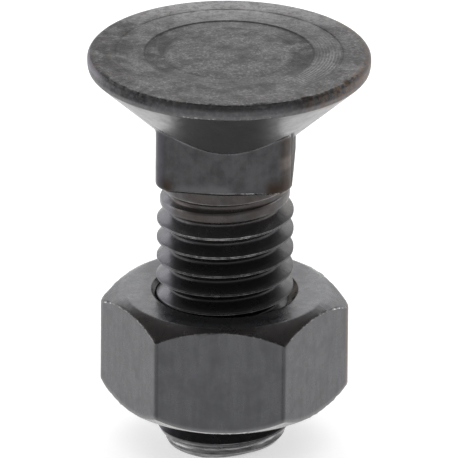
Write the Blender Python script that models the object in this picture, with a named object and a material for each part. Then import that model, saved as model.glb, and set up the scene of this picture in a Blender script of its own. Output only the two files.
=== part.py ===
"""Plow bolt with its hex nut, standing on the tip of its thread.

Metres, +Z up along the bolt's axis towards the head, origin at the centre of the tip's end face.
The bolt is one forging: a flat countersunk head, a square neck and a rolled right-hand thread.
The nut is the second piece. It travels along the thread, so its origin lies on the bolt's axis.
"""
import math

import bmesh
import bpy

MM = 0.001

# Bolt, measured from the face of the head or from the tip
OVERALL_LENGTH = 36.0 * MM
HEAD_DIAMETER = 24.4 * MM
HEAD_OFFSET = 0.23 * MM  # the forged head sits this far off the axis of the shank, towards +X
HEAD_LAND = 1.3 * MM  # height of the plain rim above the countersink
HEAD_CONE_ANGLE = math.radians(95)  # included angle of the countersink
NECK_REACH = 10.83 * MM  # face of the head to the underside of the square neck
NECK_WIDTH = 11.75 * MM
NECK_CORNER_RADIUS = 1.9 * MM
NECK_EDGE_RADIUS = 0.45 * MM  # rounding of the neck's lower edge
SHANK_DIAMETER = 11.14 * MM  # plain blank between the neck and the thread
TIP_DIAMETER = 8.7 * MM  # flat end face inside the tip's chamfer
TIP_CHAMFER_ANGLE = math.radians(45)

# Thread: coarse metric profile, right hand
THREAD_PITCH = 1.75 * MM
THREAD_CREST_DIAMETER = 11.8 * MM
THREAD_CREST_WIDTH = THREAD_PITCH / 8
THREAD_ROOT_WIDTH = THREAD_PITCH / 4
THREAD_FLANK_ANGLE = math.radians(30)  # each flank from the plane across the axis
THREAD_START_DROP = 1.07 * MM  # underside of the neck to the middle of the first groove
THREAD_START_ANGLE = math.radians(2)
THREAD_RUNOUT_TURNS = 1.0  # the groove reaches its full depth, and the crest its full height

# Nut
NUT_ACROSS_FLATS = 18.9 * MM
NUT_HEIGHT = 9.9 * MM
NUT_BEARING_DIAMETER = 18.0 * MM  # flat ring that the corner chamfers leave on both faces
NUT_CHAMFER_ANGLE = math.radians(33)
NUT_BORE_CLEARANCE = 0.3 * MM  # plain bore to the crests of the bolt's thread
NUT_COUNTERSINK = 0.25 * MM  # width and depth of the bevel at each mouth of the bore
NUT_FROM_TIP = 4.05 * MM  # end face of the tip to the nut's outer face

# Facets
HEAD_SEGMENTS = 64
THREAD_SEGMENTS = 32
NUT_SEGMENTS = 48
NECK_CORNER_SEGMENTS = 6
NECK_EDGE_SEGMENTS = 2
OVERLAP = 0.3 * MM  # how far one form of the forging reaches into the next before they join
CUTTER_MARGIN = 2.0 * MM  # how far a cutter stands past what it cuts
SMOOTH_ANGLE = math.radians(28)

# Places that follow from the sizes
NECK_UNDERSIDE = OVERALL_LENGTH - NECK_REACH
HEAD_CONE_TOP = OVERALL_LENGTH - HEAD_LAND
CREST_RADIUS = THREAD_CREST_DIAMETER / 2
SHANK_RADIUS = SHANK_DIAMETER / 2
FLANK_WIDTH = (THREAD_PITCH - THREAD_CREST_WIDTH - THREAD_ROOT_WIDTH) / 2
ROOT_RADIUS = CREST_RADIUS - FLANK_WIDTH / math.tan(THREAD_FLANK_ANGLE)
THREAD_START = NECK_UNDERSIDE - THREAD_START_DROP
NUT_BORE_RADIUS = CREST_RADIUS + NUT_BORE_CLEARANCE


def clear_scene():
    for old in list(bpy.data.objects):
        bpy.data.objects.remove(old, do_unlink=True)


def oxide_finish(name, colour, roughness):
    material = bpy.data.materials.new(name)
    material.use_nodes = True
    shader = material.node_tree.nodes["Principled BSDF"]
    shader.inputs["Base Color"].default_value = (*colour, 1)
    shader.inputs["Roughness"].default_value = roughness
    shader.inputs["Metallic"].default_value = 0.85
    return material


def add_object(name, bm, material):
    """Close up the normals, shade the round faces smooth and link the mesh as a named object."""
    bmesh.ops.recalc_face_normals(bm, faces=bm.faces)
    mesh = bpy.data.meshes.new(name)
    bm.to_mesh(mesh)
    bm.free()
    mesh.materials.append(material)
    mesh.shade_smooth()
    mesh.set_sharp_from_angle(angle=SMOOTH_ANGLE)
    thing = bpy.data.objects.new(name, mesh)
    bpy.context.collection.objects.link(thing)
    return thing


def as_guide(thing):
    """A form that only feeds a Boolean: it isn't a piece of the object."""
    thing.hide_render = True
    thing.display_type = "WIRE"
    return thing


def combine(thing, guide, operation):
    modifier = thing.modifiers.new(guide.name, "BOOLEAN")
    modifier.operation = operation
    modifier.solver = "EXACT"
    modifier.object = guide


def turned_form(outline, segments):
    """Solid of revolution: outline is (radius, height) points that begin and end on the axis."""
    bm = bmesh.new()
    rings = []
    for radius, height in outline:
        if radius == 0:
            rings.append([bm.verts.new((0, 0, height))])
            continue
        turns = (2 * math.pi * k / segments for k in range(segments))
        rings.append([bm.verts.new((radius * math.cos(a), radius * math.sin(a), height)) for a in turns])
    for upper, lower in zip(rings, rings[1:]):
        for k in range(segments):
            n = (k + 1) % segments
            corners = [upper[k % len(upper)], lower[k % len(lower)]]
            corners += [lower[n % len(lower)], upper[n % len(upper)]]
            bm.faces.new(list(dict.fromkeys(corners)))
    return bm


def extruded_form(outline, low, high):
    """Prism on a closed outline of (x, y) points."""
    bm = bmesh.new()
    base = bm.faces.new([bm.verts.new((x, y, low)) for x, y in outline])
    top = bmesh.ops.extrude_face_region(bm, geom=[base])
    raised = [g for g in top["geom"] if isinstance(g, bmesh.types.BMVert)]
    bmesh.ops.translate(bm, verts=raised, vec=(0, 0, high - low))
    return bm


def rounded_square(width, radius, corner_segments):
    centre = width / 2 - radius
    points = []
    for quarter in range(4):
        middle = math.radians(45 + 90 * quarter)
        cx = centre * math.copysign(1, math.cos(middle))
        cy = centre * math.copysign(1, math.sin(middle))
        for k in range(corner_segments + 1):
            angle = math.radians(90) * (quarter + k / corner_segments)
            points.append((cx + radius * math.cos(angle), cy + radius * math.sin(angle)))
    return points


def eased(turns):
    """0 at the start of the run-out and 1 at its end, quick at first, as the dies bite in."""
    share = min(max(turns / THREAD_RUNOUT_TURNS, 0), 1)
    return 1 - (1 - share) ** 3


def crest_radius(turns):
    """Radius of the ridge, counted in turns from the start of the groove under it."""
    share = min(max((turns - 0.5) / THREAD_RUNOUT_TURNS, 0), 1)
    return SHANK_RADIUS + (CREST_RADIUS - SHANK_RADIUS) * share**2


def groove_section(turns, turns_left):
    """(radius, height) of the groove's four edges at one place on the helix, top to bottom."""
    middle = THREAD_START - THREAD_PITCH * turns
    above = crest_radius(turns - 0.5)
    below = crest_radius(turns + 0.5)
    root = SHANK_RADIUS - (SHANK_RADIUS - ROOT_RADIUS) * eased(turns)
    root = below - (below - root) * eased(turns_left)
    half = THREAD_ROOT_WIDTH / 2
    slope = math.tan(THREAD_FLANK_ANGLE)
    return [
        (above, middle + half + (above - root) * slope),
        (root, middle + half),
        (root, middle - half),
        (below, middle - half - (below - root) * slope),
    ]


def threaded_form():
    """Shank with one long helical groove, from inside the neck to past the tip."""
    bm = bmesh.new()
    per_turn = THREAD_SEGMENTS
    turns = math.ceil(THREAD_START / THREAD_PITCH) + 2
    last = turns * per_turn
    top = NECK_UNDERSIDE + OVERLAP
    bottom = THREAD_START - THREAD_PITCH * (turns + 1)

    def vertex(station, radius, height):
        angle = THREAD_START_ANGLE - 2 * math.pi * station / per_turn
        return bm.verts.new((radius * math.cos(angle), radius * math.sin(angle), height))

    groove = []
    for station in range(last + 1):
        section = groove_section(station / per_turn, (last - station) / per_turn)
        groove.append([vertex(station, radius, height) for radius, height in section])
    upper = [vertex(k, SHANK_RADIUS, top) for k in range(per_turn)]
    lower = [vertex(k, CREST_RADIUS, bottom) for k in range(per_turn)]
    bm.faces.new(upper)
    bm.faces.new(lower)
    for k in range(last):
        here, after = groove[k], groove[k + 1]
        for side in range(3):
            bm.faces.new((here[side], after[side], after[side + 1], here[side + 1]))
    for k in range(last - per_turn):
        here, after = groove[k], groove[k + 1]
        bm.faces.new((here[3], after[3], groove[k + per_turn + 1][0], groove[k + per_turn][0]))
    for k in range(per_turn - 1):
        bm.faces.new((upper[k], upper[k + 1], groove[k + 1][0], groove[k][0]))
    bm.faces.new((upper[-1], upper[0], *groove[0], groove[per_turn][0], groove[per_turn - 1][0]))
    first = last - per_turn
    for k in range(1, per_turn):
        after = (k + 1) % per_turn
        bm.faces.new((groove[first + k][3], groove[first + k + 1][3], lower[after], lower[k]))
    bm.faces.new((groove[first + 1][3], groove[first][3], *groove[last], lower[0], lower[1]))
    return bm


def tip_envelope():
    """What the tip's chamfer and end face leave of the threaded shank."""
    outside = CREST_RADIUS + CUTTER_MARGIN
    end = TIP_DIAMETER / 2
    rise = (outside - end) / math.tan(TIP_CHAMFER_ANGLE)
    high = NECK_UNDERSIDE + CUTTER_MARGIN
    return turned_form([(0, high), (outside, high), (outside, rise), (end, 0), (0, 0)], THREAD_SEGMENTS)


def head_form():
    """Flat face, plain rim and countersink, closed inside the neck."""
    rim = HEAD_DIAMETER / 2
    inner = NECK_WIDTH / 2 - OVERLAP
    depth = (rim - inner) / math.tan(HEAD_CONE_ANGLE / 2)
    low = HEAD_CONE_TOP - depth
    outline = [(0, OVERALL_LENGTH), (rim, OVERALL_LENGTH), (rim, HEAD_CONE_TOP), (inner, low), (0, low)]
    bm = turned_form(outline, HEAD_SEGMENTS)
    bmesh.ops.translate(bm, verts=bm.verts, vec=(HEAD_OFFSET, 0, 0))
    return bm


def neck_form():
    """Square neck from inside the head down to its rounded lower edge."""
    outline = rounded_square(NECK_WIDTH, NECK_CORNER_RADIUS, NECK_CORNER_SEGMENTS)
    bm = extruded_form(outline, NECK_UNDERSIDE, HEAD_CONE_TOP)
    bmesh.ops.recalc_face_normals(bm, faces=bm.faces)
    edges = [e for e in bm.edges if all(v.co.z < NECK_UNDERSIDE + OVERLAP for v in e.verts)]
    bmesh.ops.bevel(
        bm, geom=edges, offset=NECK_EDGE_RADIUS, segments=NECK_EDGE_SEGMENTS,
        profile=0.5, affect="EDGES", clamp_overlap=True,
    )
    return bm


def build_bolt(finish):
    bolt = add_object("plow_bolt", head_form(), finish)
    neck = as_guide(add_object("neck_form", neck_form(), finish))
    shank = as_guide(add_object("thread_form", threaded_form(), finish))
    tip = as_guide(add_object("tip_form", tip_envelope(), finish))
    for guide in (neck, shank, tip):
        guide.parent = bolt
    combine(shank, tip, "INTERSECT")
    combine(bolt, neck, "UNION")
    combine(bolt, shank, "UNION")


def nut_corner_envelope():
    """Turned form whose two cones chamfer the nut's six corners."""
    outside = NUT_ACROSS_FLATS / math.sqrt(3) + CUTTER_MARGIN
    flat = NUT_BEARING_DIAMETER / 2
    drop = (outside - flat) * math.tan(NUT_CHAMFER_ANGLE)
    high = NUT_HEIGHT
    outline = [(0, high), (flat, high), (outside, high - drop), (outside, drop), (flat, 0), (0, 0)]
    return turned_form(outline, NUT_SEGMENTS)


def nut_bore_cutter():
    """Plain bore that clears the bolt's crests, with a bevel at each mouth."""
    mouth = NUT_BORE_RADIUS + NUT_COUNTERSINK
    high = NUT_HEIGHT + CUTTER_MARGIN
    outline = [
        (0, high),
        (mouth, high),
        (mouth, NUT_HEIGHT),
        (NUT_BORE_RADIUS, NUT_HEIGHT - NUT_COUNTERSINK),
        (NUT_BORE_RADIUS, NUT_COUNTERSINK),
        (mouth, 0),
        (mouth, -CUTTER_MARGIN),
        (0, -CUTTER_MARGIN),
    ]
    return turned_form(outline, NUT_SEGMENTS)


def build_nut(finish):
    corner = NUT_ACROSS_FLATS / math.sqrt(3)
    angles = [math.radians(60 * k) for k in range(6)]
    hexagon = [(corner * math.cos(a), corner * math.sin(a)) for a in angles]
    nut = add_object("hex_nut", extruded_form(hexagon, 0, NUT_HEIGHT), finish)
    nut.location.z = NUT_FROM_TIP
    chamfer = as_guide(add_object("nut_corner_form", nut_corner_envelope(), finish))
    bore = as_guide(add_object("nut_bore_form", nut_bore_cutter(), finish))
    for guide in (chamfer, bore):
        guide.parent = nut
    combine(nut, chamfer, "INTERSECT")
    combine(nut, bore, "DIFFERENCE")


def main():
    clear_scene()
    build_bolt(oxide_finish("black_oxide_bolt", (0.06, 0.06, 0.065), 0.42))
    build_nut(oxide_finish("black_oxide_nut", (0.09, 0.09, 0.095), 0.38))


main()
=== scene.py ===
"""Plow bolt with its hexagon nut: the forged and threaded pieces, their black oxide, and a small studio.

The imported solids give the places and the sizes. Each piece is modelled in millimetres around the
bolt's axis, brought to metres when it is finished, and rides on the body of the solid it replaces.
"""

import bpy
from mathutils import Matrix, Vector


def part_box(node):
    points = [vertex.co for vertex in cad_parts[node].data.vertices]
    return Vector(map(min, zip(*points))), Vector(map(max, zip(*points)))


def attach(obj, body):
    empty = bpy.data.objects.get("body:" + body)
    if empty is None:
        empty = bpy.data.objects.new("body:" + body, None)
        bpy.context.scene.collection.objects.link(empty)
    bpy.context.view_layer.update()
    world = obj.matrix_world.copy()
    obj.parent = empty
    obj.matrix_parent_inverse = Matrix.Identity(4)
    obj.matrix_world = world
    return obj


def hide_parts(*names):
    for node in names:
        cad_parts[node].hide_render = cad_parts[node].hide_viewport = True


bl_info = {
    "name": "Plow Bolt Maker",
    "version": (1, 0, 0),
    "blender": (4, 5, 0),
    "location": "View3D > Sidebar > Plow Bolt",
    "description": "Models a black oxide plow bolt and its hexagon nut around the packed solids",
    "category": "Object",
}

import math
from types import SimpleNamespace

import bpy
import numpy as np
from bpy.props import FloatProperty, FloatVectorProperty, IntProperty, PointerProperty
from mathutils import Matrix, Vector, noise

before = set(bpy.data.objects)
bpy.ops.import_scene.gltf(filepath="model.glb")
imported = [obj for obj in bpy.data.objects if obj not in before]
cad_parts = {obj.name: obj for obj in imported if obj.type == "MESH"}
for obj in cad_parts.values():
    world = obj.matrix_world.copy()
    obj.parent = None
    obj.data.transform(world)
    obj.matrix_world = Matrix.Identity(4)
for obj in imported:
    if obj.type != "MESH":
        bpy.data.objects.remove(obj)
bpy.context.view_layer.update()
BOLT_LOW, BOLT_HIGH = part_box("plow_bolt")
NUT_LOW, NUT_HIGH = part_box("hex_nut")

MM = 0.001
TURN = 2 * math.pi
WELD = 0.0002  # mm, doubles closer than this are merged
SHARP, NUT_SHARP = math.radians(32), math.radians(30)  # edges sharper than this stay crisp


# Sizes and colours that a user may change


def length(name, description, default):
    return FloatProperty(name=name, description=description, default=default, unit="LENGTH", precision=5)


def angle(name, description, degrees):
    return FloatProperty(
        name=name, description=description, default=math.radians(degrees), unit="ROTATION", subtype="ANGLE"
    )


def plain(name, description, default):
    return FloatProperty(name=name, description=description, default=default)


def shade(name, description, default):
    return FloatVectorProperty(
        name=name, description=description, default=default, size=3, min=0, max=1, subtype="COLOR"
    )


class BoltSizes(bpy.types.PropertyGroup):
    """Sizes of the forging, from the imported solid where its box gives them"""

    overall: length("Overall Length", "Tip to the face of the head", BOLT_HIGH.z)
    head: length("Head Diameter", "Widest part of the rim", BOLT_HIGH.x - BOLT_LOW.x)
    head_offset: length("Head Offset", "The head sits this far off the axis", (BOLT_HIGH.x + BOLT_LOW.x) / 2)
    land: length("Rim Height", "Plain rim above the countersink", 0.0013)
    countersink: angle("Countersink", "Included angle of the cone under the head", 95)
    neck: length("Neck Width", "Across the flats of the square neck", 0.01175)
    neck_corner: length("Neck Corner", "Rounding of the neck's upright corners", 0.0019)
    neck_edge: length("Neck Lower Edge", "Rounding of the neck's lower edge", 0.00045)
    neck_fillet: length("Neck Fillet", "Rounding between the countersink and the neck", 0.0006)
    neck_reach: length("Neck Reach", "Face of the head to the underside of the neck", 0.01083)
    shank: length("Blank Diameter", "Plain blank between the neck and the thread", 0.01114)
    crest: length("Crest Diameter", "Over the crests of the thread", 0.0118)
    pitch: length("Pitch", "Travel of the thread in one turn", 0.00175)
    start_drop: length("Thread Start", "Underside of the neck to the middle of the first groove", 0.00107)
    start_angle: angle("Thread Start Angle", "Where the groove begins round the axis", 2)
    tip: length("Tip Diameter", "Flat end inside the tip's chamfer", 0.0096)
    stations: IntProperty(name="Stations", description="Steps round the head", default=400, min=32)
    steps: IntProperty(name="Thread Steps", description="Steps in one turn", default=112, min=24)


class NutSizes(bpy.types.PropertyGroup):
    """Sizes of the hexagon nut"""

    flats: length("Across Flats", "Width between two opposite flats", NUT_HIGH.y - NUT_LOW.y)
    pressed: length("Across the Pressed Flats", "Width between the flats in front and behind", 0.0184)
    bearing: length("Bearing Diameter", "Flat ring inside the corner chamfers", 0.0174)
    chamfer: angle("Corner Chamfer", "Fall of the crowned chamfers where they begin", 22.8)
    corner: length("Corner Radius", "Rounding of the four edges in front and behind", 0.00035)
    side_corner: length("Side Corner Radius", "Rounding of the two edges at the sides", 0.0014)
    mouth: length("Countersink Diameter", "Mouth of the threaded bore", 0.0127)
    bore: length("Minor Diameter", "Over the crests of the nut's own thread", 0.0102)
    play: length("Thread Play", "Clearance between the two threads", 0.00006)


class OxideColours(bpy.types.PropertyGroup):
    """Colours of the finish: a dark conversion coat on steel, brown where it has rubbed through, and bare
    steel, which also paints glints
    """

    smooth: shade("Smooth Oxide", "Reflecting colour of the rolled and drawn faces", (0.094, 0.0935, 0.098))
    satin: shade("Satin Cone", "Reflecting colour of the countersink under the head", (0.28, 0.277, 0.28))
    turned: shade("Turned Face", "Reflecting colour of the face of the head", (0.138, 0.136, 0.138))
    stain: shade("Stain", "Where oil and scale lie in the turned rings", (0.026, 0.025, 0.025))
    rust: shade("Rust", "Thin brown bloom on rims and corners", (0.20, 0.125, 0.08))
    # bare steel on crests and corners; the same colour paints glints and highlights on edges
    worn_and_glint: shade("Worn Edge", "Bare steel on crests and corners", (0.85, 0.84, 0.83))
    nut: shade("Nut Oxide", "Reflecting colour of the nut", (0.141, 0.142, 0.151))


class StudioSettings(bpy.types.PropertyGroup):
    """The camera's place and the strength of the light"""

    azimuth: angle("Camera Azimuth", "Round the axis, from the neck's front flat", 2.2)
    elevation: angle("Camera Elevation", "Above the horizon", 23.03)
    distance: length("Camera Distance", "Camera to the middle of the bolt", 1.5)
    roll: angle("Camera Roll", "Turn of the camera about its own line of sight", 0.456)
    aim_height: length("Aim Height", "Place on the axis that the framing is measured from", 0.01785)
    scale: plain("Pixels per Millimetre", "At the aim height, in the 458 pixel frame", 11.604)
    ambient: plain("Ambient", "Strength of the even light from all round", 0.8)


# Modelling by operators


def millimetres(group):
    """The group's lengths in millimetres, everything else as it is."""
    values = {}
    for name, prop in group.bl_rna.properties.items():
        if name in ("rna_type", "name"):
            continue
        value = getattr(group, name)
        values[name] = value / MM if prop.type == "FLOAT" and prop.unit == "LENGTH" else value
    return SimpleNamespace(**values)


def trace(name, points):
    """Draw a wire point by point in the XZ plane: points are (radius, height). Leaves it in edit mode."""
    bpy.ops.object.select_all(action="DESELECT")
    bpy.ops.mesh.primitive_plane_add(size=1)
    thing = bpy.context.object
    thing.name = name
    bpy.ops.object.mode_set(mode="EDIT")
    bpy.ops.mesh.select_mode(type="VERT")
    bpy.ops.mesh.select_all(action="SELECT")
    bpy.ops.mesh.merge(type="CENTER")
    (radius, height), *moves = np.diff([(0, 0), *points], axis=0)
    bpy.ops.transform.translate(value=(radius, 0, height))
    for out, up in moves:
        bpy.ops.mesh.extrude_region_move(TRANSFORM_OT_translate={"value": (out, 0, up)})
    return thing


def weld():
    """Merge doubles, then point the faces outwards. Works in edit mode."""
    bpy.ops.mesh.select_all(action="SELECT")
    bpy.ops.mesh.remove_doubles(threshold=WELD)
    bpy.ops.mesh.select_all(action="SELECT")
    bpy.ops.mesh.normals_make_consistent(inside=False)


def turn(name, points, stations):
    """Turn an outline, from the axis at the top to the axis at the bottom, into a closed solid."""
    thing = trace(name, points)
    bpy.ops.mesh.select_all(action="SELECT")
    bpy.ops.mesh.spin(steps=stations, angle=TURN, center=(0, 0, 0), axis=(0, 0, 1))
    weld()
    bpy.ops.object.mode_set(mode="OBJECT")
    return thing


def pick(thing):
    bpy.ops.object.select_all(action="DESELECT")
    thing.select_set(True)
    bpy.context.view_layer.objects.active = thing


def finish_modifier(thing, kind, **settings):
    """Add a modifier, set it and apply it."""
    pick(thing)
    bpy.ops.object.modifier_add(type=kind)
    modifier = thing.modifiers[-1]
    for name, value in settings.items():
        setattr(modifier, name, value)
    bpy.ops.object.modifier_apply(modifier=modifier.name)


def combine(thing, other, operation):
    finish_modifier(thing, "BOOLEAN", operation=operation, solver="MANIFOLD", object=other)
    bpy.data.objects.remove(other)


def points_of(thing):
    """The mesh's points, with the angle of each round the axis and its distance from it."""
    places = np.zeros(len(thing.data.vertices) * 3)
    thing.data.vertices.foreach_get("co", places)
    places = places.reshape(-1, 3)
    return places, np.arctan2(places[:, 1], places[:, 0]), np.hypot(places[:, 0], places[:, 1])


def put_points(thing, places):
    thing.data.vertices.foreach_set("co", places.ravel())
    thing.data.update()


def around_axis(radius, angles, height):
    return np.stack([radius * np.cos(angles), radius * np.sin(angles), height], 1)


def nearest_row(radius, height, outline):
    """Which point of the outline, given as (radius, height) rows, each point was turned from."""
    outline = np.array(outline)
    return np.hypot(radius[:, None] - outline[None, :, 0], height[:, None] - outline[None, :, 1]).argmin(1)


def roughen(places, size, depth, seed):
    """Uneven depth for each point, from a smooth random field with swells of that size."""
    shift = Vector((seed * 17.3, seed * 5.1, seed * 9.7))
    return np.array([noise.noise(Vector(p) / size + shift) for p in places]) * depth


def to_metres(thing, sharp):
    """Bring a finished piece to metres, with its place in its mesh, and shade its round faces smooth."""
    pick(thing)
    thing.scale = (MM, MM, MM)
    bpy.ops.object.transform_apply(location=True, rotation=True, scale=True)
    bpy.ops.object.shade_smooth_by_angle(angle=sharp)
    return thing


# The forging


def from_flat(angles):
    """How far each angle is from the middle of the neck's nearest flat."""
    return np.abs((angles + math.pi / 4) % (math.pi / 2) - math.pi / 4)


def rounded_square(angles, half, corner):
    """Distance from the axis to a square with rounded corners, at each angle."""
    quarter = from_flat(angles)
    centre = half - corner
    reach = centre * (np.cos(quarter) + np.sin(quarter))
    inside = np.maximum(reach**2 - (2 * centre**2 - corner**2), 0)
    return np.where(np.tan(quarter) <= centre / half, half / np.cos(quarter), reach + np.sqrt(inside))


FACE_DISH = 7.3  # mm, radius of the dished middle of the face
FACE_RING = 9.8  # mm, radius of the outer turned ring
TURNING_PITCH = 0.27  # mm between two passes of the tool on the face
EDGE_ROUND = 0.53  # mm, rounding of the head's upper edge at the sides and behind
EDGE_TURNS = np.radians(np.linspace(84, 0, 9))
BEVEL_IN, BEVEL_DOWN = 0.3, 0.6  # mm, the crisper curve that stands in its place in front
BEVEL_MIDDLE = math.radians(4)  # where that curve is centred, from the front
BEVEL_BEGINS, BEVEL_SOFT = 0.38, 0.14  # where it takes over towards the front, as a sine, and how softly
LIP_BACK, LIP_DOWN = 0.5, 0.36  # mm, the most that the jagged lip is broken back and down
CONE_START = 0.1  # mm, how far inside the rim the countersink begins
CONE_INSET = 0.22  # mm, inside the rim, where the head's outline meets the countersink's rings


def cone_height(size, radius):
    """Height of the countersink at a distance from the head's axis."""
    fall = (size.head / 2 - CONE_START - radius) / math.tan(size.countersink / 2)
    return size.overall - size.land - fall


def head_outline(size):
    """Face with its dish and turned rings, rounded edge and rim down to the countersink, top to bottom."""
    top, rim, low = size.overall, size.head / 2, size.land
    face = [(0, 0.062), (2.2, 0.062), (4.6, 0.066), (5.5, 0.072), (5.8, 0.092), (6.4, 0.1), (6.9, 0.096)]
    face += [(FACE_DISH - 0.08, 0.088), (FACE_DISH, 0.04)]
    face += [(r, 0.034) for r in np.arange(FACE_DISH + 0.12, FACE_RING - 0.1, TURNING_PITCH / 4)]
    face += [(FACE_RING - 0.06, 0.036), (FACE_RING + 0.05, 0.01), (10.4, 0.006), (11, 0.004), (11.4, 0.002)]
    face += [(rim - EDGE_ROUND - 0.09, 0)]
    arc = 1 - np.stack([np.cos(EDGE_TURNS), np.sin(EDGE_TURNS)], 1)
    edge = [(rim - EDGE_ROUND * inset, EDGE_ROUND * sunk) for inset, sunk in arc]
    side = [(rim, 0.74), (rim - 0.004, 0.84), (rim - 0.02, 0.98), (rim - 0.05, low - 0.14)]
    side += [(rim - 0.08, low - 0.05), (rim - 0.14, low + 0.03)]
    outline = [(radius, top - depth) for radius, depth in face + edge + side]
    return outline + [(rim - CONE_INSET, cone_height(size, rim - CONE_INSET))]


RIM_POINTS = 7  # points of the outline between the upper edge and the countersink's rings
NECK_RINGS = SimpleNamespace(cone=16, fillet=7, flat=12, edge=7, under=3)
NECK_BOW = 0.22  # mm, how much lower the neck's underside hangs at the middle of each flat


def neck_rings(size, angles):
    """Countersink, fillet, flats and rounded lower edge at each angle: places as (rings, angles, 3)."""
    around = np.stack([np.cos(angles), np.sin(angles)])
    offset = np.array([[size.head_offset], [0]])  # the countersink is round this axis, the neck is not
    reach = rounded_square(angles, size.neck / 2, size.neck_corner)
    under = size.overall - size.neck_reach
    rings = []

    def ring(radius, height):
        flat = around * radius
        rings.append(np.stack([*flat, np.broadcast_to(height, angles.shape)], -1))

    def cone_at(flat):
        return cone_height(size, np.hypot(*(flat - offset)))

    fillet = size.neck_fillet
    half = size.countersink / 4
    tangent = fillet * math.tan(half)
    start = around * (reach + tangent * math.cos(math.pi / 2 - 2 * half))
    outside = offset + around * (size.head / 2 - CONE_INSET)
    for share in np.linspace(0, 1, NECK_RINGS.cone, endpoint=False)[1:]:
        flat = outside + (start - outside) * share
        rings.append(np.stack([*flat, cone_at(flat)], -1))
    middle_z = cone_at(around * reach) - tangent
    for turned in np.linspace(math.pi - 2 * half, math.pi, NECK_RINGS.fillet):
        ring(reach + fillet + fillet * math.cos(turned), middle_z + fillet * math.sin(turned))
    edge = size.neck_edge
    bow = NECK_BOW * np.cos(2 * from_flat(angles)) ** 2
    for share in np.linspace(0, 1, NECK_RINGS.flat + 1)[1:]:
        ring(reach, middle_z + (under + edge - bow - middle_z) * share)
    for turned in np.radians(np.linspace(0, 90, NECK_RINGS.edge + 1)[1:]):
        inset = edge * (1 - math.cos(turned))
        outline = rounded_square(angles, size.neck / 2 - inset, size.neck_corner - inset)
        ring(outline, under - bow + edge - edge * math.sin(turned))
    for share in np.linspace(1, 0, NECK_RINGS.under + 1)[1:]:
        inner = rounded_square(angles, size.neck / 2 - edge, size.neck_corner - edge)
        ring(inner * share, under - bow * share)
    return np.array(rings)


FINE_PASS = 0.011  # mm, half the depth of the marks that the tool leaves in the turned ring
DEEP_PASS = math.radians(25)  # where round the ring they are deepest
SWELLS = ((2.6, 0.022, 1), (0.9, 0.008, 2))  # size and depth in mm, and seed, of the forging's unevenness
SCALE_PITS = (0.6, 0.02, 5)  # the same for the rim


def square_off(thing, outline, head, size):
    """Move the turned blank's rings out to the square neck, and give the head its uneven edge.

    The first points of the outline, as many as head says, are the head's.
    """
    places, turned, radius = points_of(thing)
    height = places[:, 2]
    index = nearest_row(radius, height, outline)
    low = index >= head

    top = size.overall
    passes = (radius > FACE_DISH + 0.05) & (radius < FACE_RING - 0.05) & (height > top - 0.1)
    right = 0.25 + 0.75 * np.clip(np.cos(turned - DEEP_PASS), 0, 1) ** 2
    ridges = 1 + np.cos(TURN * (radius - FACE_DISH) / TURNING_PITCH)
    height = height - passes * right * FINE_PASS * ridges

    down = np.clip((index - (head - RIM_POINTS - len(EDGE_TURNS))) / (len(EDGE_TURNS) - 1), -1, 1)
    on_edge = (down >= 0) & (height > top - EDGE_ROUND - 0.01)
    front = np.clip((-np.sin(turned - BEVEL_MIDDLE) - BEVEL_BEGINS) / BEVEL_SOFT, 0, 1)
    bevel = np.where(on_edge, front, 0)
    radius = radius + (size.head / 2 - BEVEL_IN * np.clip(1 - down, 0, 1) ** 1.7 - radius) * bevel
    height = height + (top - BEVEL_DOWN * down - height) * bevel

    around = around_axis(12, turned, np.zeros_like(turned))
    burr = roughen(around, 0.9, 0.6, 3) + roughen(around, 0.3, 0.4, 4)
    lip = np.clip((height - (top - 0.3)) / 0.3, 0, 1) * np.clip((radius - 11.6) / 0.4, 0, 1)
    radius = radius - lip * np.abs(burr) * LIP_BACK * (0.1 + front)
    height = height - lip * np.clip(burr, 0, 1) * LIP_DOWN * front
    places = around_axis(radius, turned, height) + (size.head_offset, 0, 0)
    squared = neck_rings(size, turned)
    rows = np.where(low, index - head, 0)
    places = np.where(low[:, None], squared[rows, np.arange(len(places))], places)

    wall = (places[:, 2] < top - 0.5) & (radius > 3)
    swell = sum(roughen(places, *wave) for wave in SWELLS)
    rim = (places[:, 2] > top - size.land - 0.1) & wall
    swell = np.where(rim, np.minimum(roughen(places, *SCALE_PITS), 0), swell)
    places[:, 0] += np.where(wall, swell * np.cos(turned), 0)
    places[:, 1] += np.where(wall, swell * np.sin(turned), 0)
    put_points(thing, places)


FLANK = math.tan(math.radians(30))  # the thread's flanks lie 60 degrees apart
ROOT_ROUND = 0.1443  # radius of the thread's rounded root, as a share of the pitch
BITE = 2.3  # how fast the first groove deepens
SHOULDER = 0.16  # mm, softness of the ridge's shoulders where the thread runs in


def crest_share(turns):
    """0 on the plain blank and 1 where the ridge has its full height, counted from the first groove."""
    return np.clip(turns - 0.5, 0, 1) ** 2


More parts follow.
